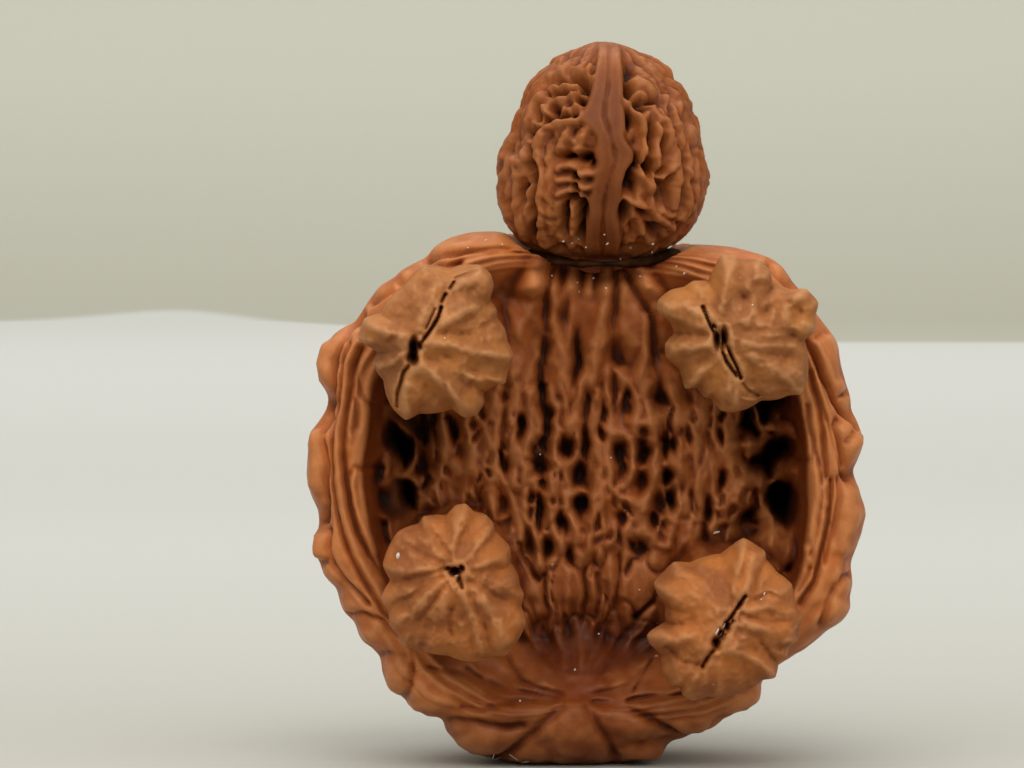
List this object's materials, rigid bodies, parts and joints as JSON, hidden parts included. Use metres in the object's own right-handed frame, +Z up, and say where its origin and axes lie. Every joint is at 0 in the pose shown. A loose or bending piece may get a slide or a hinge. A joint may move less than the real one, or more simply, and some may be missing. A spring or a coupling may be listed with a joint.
{
  "type": "walnut turtle figure",
  "caption": "Small turtle figure made of polished hand walnuts: a big netted one as the body standing on its base end, a small one as the head and walnut base ends as the feet.",
  "frame": {"origin": "on the small flat spot that the body walnut rests on, under the figure's centre of mass", "axes": "+Z up from the resting spot to the crown of the head, -Y towards the netted belly side with the feet, +X to the right as seen from that side"},
  "size_m": [0.05, 0.0354, 0.0647],
  "materials": {
    "polished_walnut": "hand-polished, waxy",
    "dry_walnut": "dry, matt"
  },
  "bodies": {
    "root": {"body_walnut": "polished_walnut", "head_walnut": "polished_walnut", "foot_upper_left": "dry_walnut", "foot_upper_right": "dry_walnut", "foot_lower_left": "dry_walnut", "foot_lower_right": "dry_walnut"}
  },
  "joints": []
}
